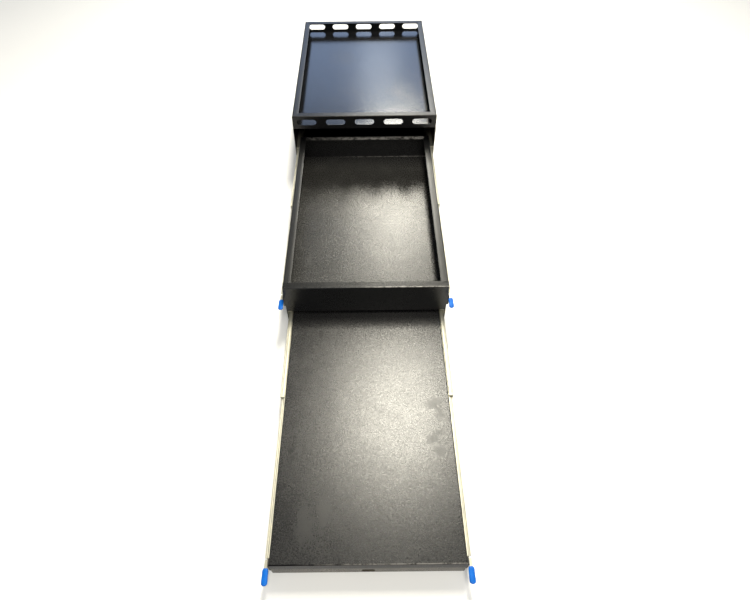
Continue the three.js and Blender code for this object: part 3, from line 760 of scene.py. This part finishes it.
STAGES = [("upper", DH, 140.0, FRONT, DF), ("lower", PH, 50.0, DF, PF)]
for stage, half, zc, fixed, f in STAGES:
    for side, s in (("left", -1), ("right", 1)):
        at = lambda u, half=half, s=s: s * (half + u)
        name = f"{stage}_slide"
        # outer member with countersunk screws sunk in its slots
        n0, n1 = node_box(f"{name}_outer_{side}")
        ys = [n0[1] + 40, n0[1] + 300, n0[1] + 560, n0[1] + 775]
        extras = [flush_screw((at(17.45), y, zc), (-s, 0, 0), 3.6, 1.5, 1.7) for y in ys]
        extras += [rivet((at(17.38), n0[1] + e, zc + v), (-s, 0, 0), 2.2, 0.22) for e in (14, 798) for v in (-14, 14)]
        piece(f"{name}_outer_{side}", M_ZINC, prism(member(OUTER, s, half, zc), "Y", n0[1], n1[1]),
              cut=holes(s, half, zc, ys, 13, 23, 18, 8), extras=extras, bevel=0.3)
        # middle member with long windows in its web
        n0, n1 = node_box(f"{name}_middle_{side}")
        piece(f"{name}_middle_{side}", M_ZINC, prism(member(MIDDLE, s, half, zc), "Y", n0[1], n1[1]),
              cut=holes(s, half, zc, [n0[1] + 60, n0[1] + 395, n0[1] + 730], 13, 17, 40, 22)
              + holes(s, half, zc, [n0[1] + 18, n1[1] - 18], 13, 17, 10, 6), bevel=0.3,
              extras=[rivet((at(16.02), n0[1] + e, zc + v), (s, 0, 0), 2.0, 0.3) for e in (110, 340, 450, 680) for v in (-17, 17)])
        # inner member, screwed to the moving box, carrying the lever's pivot
        n0, n1 = node_box(f"{name}_inner_{side}")
        i0 = n0[1]
        ys = [i0 + 90, i0 + 330, i0 + 570, n1[1] - 40]
        extras = [button_screw((at(2.32), y, zc), (s, 0, 0), 5.6, 2.4, 2.0) for y in ys]
        extras.append(turned((at(2.32), f + 50, zc), (s, 0, 0), [
            (4.6, 0), (4.6, 0.5), (3.0, 0.7), (3.0, 6.15), (4.7, 6.3), (4.9, 6.5), (4.6, 6.9), (3.4, 7.3), (1.2, 7.4)], 24))
        # bent stop tab near the front
        extras.append(prism(round_closed([(i0 + 120, zc + 3), (i0 + 132, zc + 3), (i0 + 132, zc + 13), (i0 + 120, zc + 13)], 1.6),
                            "X", min(at(2.35), at(5.6)), max(at(2.35), at(5.6))))
        piece(f"{name}_inner_{side}", M_ZINC, prism(member(INNER, s, half, zc), "Y", i0, n1[1]),
              cut=holes(s, half, zc, [y + 30 for y in ys[:3]], -1, 4, 18, 8), extras=extras, bevel=0.3)
        # ball retainers: punched strips with polished balls
        for which, u, v, web0, web1, tip in (("inner", 8.0, 25.0, 12.8, 13.5, 4.4), ("outer", 13.0, 32.2, 16.4, 17.05, 9.4)):
            node = f"{name}_ball_retainer_{which}_{side}"
            n0, n1 = node_box(node)
            yc, th = (n0[1] + n1[1]) / 2, web1 - web0
            sec = sheet_outline([(tip, v + th / 2), (web1, v + th / 2), (web1, -v - th / 2), (tip, -v - th / 2)], th, -1, 0.6, 3)
            sec = [(at(a), zc + b) for a, b in sec]
            ys = [yc + (i - 4) * 17 for i in range(9)]
            a0, a1 = sorted((at(web0 - 1), at(web1 + 1)))
            cut = [prism(round_closed([(y - 5.5, zc - v + 9), (y + 5.5, zc - v + 9), (y + 5.5, zc + v - 9), (y - 5.5, zc + v - 9)], 2.0, 4), "X", a0, a1)
                    for y in ys[::2]]
            piece(node, M_STEEL, prism(sec, "Y", n0[1], n1[1]), cut=cut, bevel=0.0,
                  extras=[ball((at(u), y, zc + e * v), 2.9) for y in ys for e in (-1, 1)])
        # moulded rubber stop with two grooves
        body = round_closed([(f + 2, zc - 20), (f + 21.7, zc - 20), (f + 21.7, zc + 25), (f + 2, zc + 25)], 3.2, 6)
        a0, a1 = sorted((at(0.3), at(5.6)))
        g0, g1 = sorted((at(4.7), at(8)))
        piece(f"{name}_bumper_{side}", M_RUBBER, prism(body, "X", a0, a1), bevel=0.6, angle=50,
              cut=[block(g0, g1, f - 5, f + 30, zc + v - 0.8, zc + v + 0.8) for v in (-8, 12)])
        # release lever: flat plate with its top edge turned into a finger tab
        plate = round_closed([(f + 58, zc - 6), (f + 58, zc + 6), (f + 54, zc + 10), (f + 40, zc + 12), (f + 20, zc + 18.5, 4),
                              (f + 3, zc + 18.5, 0.5), (f + 3, zc - 14, 2), (f + 6, zc - 18, 2), (f + 13, zc - 18, 2),
                              (f + 16, zc - 14, 2), (f + 19, zc - 5, 3), (f + 40, zc - 9, 4), (f + 54, zc - 10, 3)], 5.0, 5)
        a0, a1 = sorted((at(6.4), at(8.4)))
        tab = round_closed([(at(6.4), f - 37), (at(13.4), f - 37), (at(13.4), f + 19), (at(6.4), f + 19)], 1.8, 4)
        piece(f"{name}_lever_{side}", M_LEVER, prism(plate, "X", a0, a1), bevel=0.3,
              join=[prism(tab, "Z", zc + 16.0, zc + 18.5)],
              cut=[turned((at(5), f + 50, zc), (s, 0, 0), [(3.3, 0), (3.3, 6)], 24),
                   prism(stadium(f + 30, zc + 2, 9, 5, 8), "X", a0 - 1, a1 + 1)])
        # dipped vinyl grip: a hollow sleeve with a rounded tip, a slight waist and a thick dip ring
        node = f"{name}_lever_grip_{side}"
        n0, n1 = node_box(node)
        y_tip, y_open, gx, gz = n0[1], n1[1], (n0[0] + n1[0]) / 2, (n0[2] + n1[2]) / 2
        hw, hh = (n1[0] - n0[0]) / 2, (n1[2] - n0[2]) / 2
        count = 40

        def oval(y, a, b, power=2.6, cx=gx, cz=gz):
            ring = []
            for i in range(count):
                th = 2 * math.pi * i / count
                c, d = math.cos(th), math.sin(th)
                ring.append((cx + a * math.copysign(abs(c) ** (2 / power), c), y, cz + b * math.copysign(abs(d) ** (2 / power), d)))
            return ring

        L = y_open - y_tip
        rings = []
        for k in range(1, 10):       # rounded tip
            q = math.pi / 2 * k / 9
            rings.append(oval(y_tip + 7.0 * (1 - math.cos(q)), hw * (0.05 + 0.93 * math.sin(q)), hh * (0.05 + 0.93 * math.sin(q)), 2.3))
        for p, kx, kz in ((0.26, 1.0, 1.0), (0.34, 0.99, 0.99), (0.44, 0.955, 0.96), (0.54, 0.93, 0.935), (0.64, 0.93, 0.935),
                          (0.72, 0.945, 0.945), (0.80, 0.955, 0.95), (0.86, 0.94, 0.93), (0.91, 0.89, 0.88), (0.945, 0.82, 0.82),
                          (0.97, 0.74, 0.76), (0.988, 0.66, 0.70), (1.0, 0.60, 0.66)):
            rings.append(oval(y_tip + L * p, hw * kx, hh * kz))
        tz, ta, tb = zc + 17.25, 3.5 + 0.45, 1.25 + 0.45
        rings.append(oval(y_open, ta + 0.35, tb + 0.35, 6, at(9.9), tz))
        rings.append(oval(y_open - 0.8, ta, tb, 8, at(9.9), tz))
        rings.append(oval(f - 37.5, ta, tb, 8, at(9.9), tz))
        piece(node, M_VINYL, loft(rings), bevel=0.0, sharp=60)

# ------------------------------------------------------------ floor, light, camera
fl = to_object("studio_floor", [(-30, -30, 0), (30, -30, 0), (30, 30, 0), (-30, 30, 0)], [(0, 1, 2, 3)])
fl.location.z = -0.0006
fg = Graph("floor_pale")
fg.set(Base_Color=fg.mix(fg.noise(1.3, 3.0), (0.86, 0.86, 0.855), (0.90, 0.90, 0.895)), Roughness=0.85)
fg.bsdf.inputs["Specular IOR Level"].default_value = 0.15
fl.data.materials.append(fg.mat)


def softbox(name, loc, target, sx, sy, radiance, colour):
    """Area light of a given brightness per unit area."""
    ld = bpy.data.lights.new(name, "AREA")
    ld.shape, ld.size, ld.size_y = "RECTANGLE", sx, sy
    ld.energy = radiance * math.pi * sx * sy
    ld.color = colour
    ob = bpy.data.objects.new(name, ld)
    bpy.context.scene.collection.objects.link(ob)
    ob.location = loc
    ob.rotation_euler = (Vector(target) - Vector(loc)).to_track_quat("-Z", "Y").to_euler()
    ob.visible_camera = False
    return ob


WARM, COOL, SKY, WHITE = (1.0, 0.955, 0.82), (0.86, 0.94, 1.0), (0.42, 0.61, 1.0), (1.0, 0.99, 0.97)
softbox("ceiling_lamp_near", (0.26, -0.20, 2.9), (0.22, -1.2, 0.1), 0.44, 1.05, 74.0, WARM)
softbox("ceiling_lamp_far", (0.34, 2.36, 2.9), (0.22, -0.4, 0.1), 0.46, 1.20, 51.0, WARM)
softbox("ceiling_lamp_behind", (0.22, -2.75, 2.9), (0.10, -0.8, 0.1), 0.50, 1.00, 24.0, WARM)
softbox("far_window", (0.18, 4.7, 2.95), (0.05, 0.0, 0.3), 0.5, 1.0, 3.0, COOL)
softbox("far_sky", (0.0, 5.6, 3.1), (0.0, 0.0, 0.3), 3.0, 1.8, 2.4, SKY)
softbox("studio_fill", (0.0, -4.2, 5.5), (0.0, -0.8, 0.0), 5.0, 3.5, 2.2, WHITE)

world = bpy.data.worlds.new("studio")
bpy.context.scene.world = world
world.use_nodes = True
world.node_tree.nodes["Background"].inputs["Color"].default_value = (1.0, 1.0, 1.0, 1.0)
world.node_tree.nodes["Background"].inputs["Strength"].default_value = 0.28
bpy.context.scene.view_settings.view_transform = "Standard"

TH, YAW, ROLL = math.radians(51.47), math.radians(-0.013), math.radians(-0.639)
fwd = Vector((math.sin(YAW) * math.cos(TH), math.cos(YAW) * math.cos(TH), -math.sin(TH)))
r0 = Vector((math.cos(YAW), -math.sin(YAW), 0))
u0 = r0.cross(fwd)
right = r0 * math.cos(ROLL) + u0 * math.sin(ROLL)
up = -r0 * math.sin(ROLL) + u0 * math.cos(ROLL)
cam = bpy.data.cameras.new("camera")
cam.sensor_width, cam.lens = 36.0, 527.68 / 750 * 36.0
cam.shift_x, cam.shift_y = 7.1 / 750, -0.7 / 750
cam.clip_start, cam.clip_end = 0.05, 100
cam_ob = bpy.data.objects.new("camera", cam)
bpy.context.scene.collection.objects.link(cam_ob)
m = Matrix((right, up, -fwd)).transposed().to_4x4()
m.translation = Vector((0.0065, -2.3028, 1.5209))
cam_ob.matrix_world = m
bpy.context.scene.camera = cam_ob
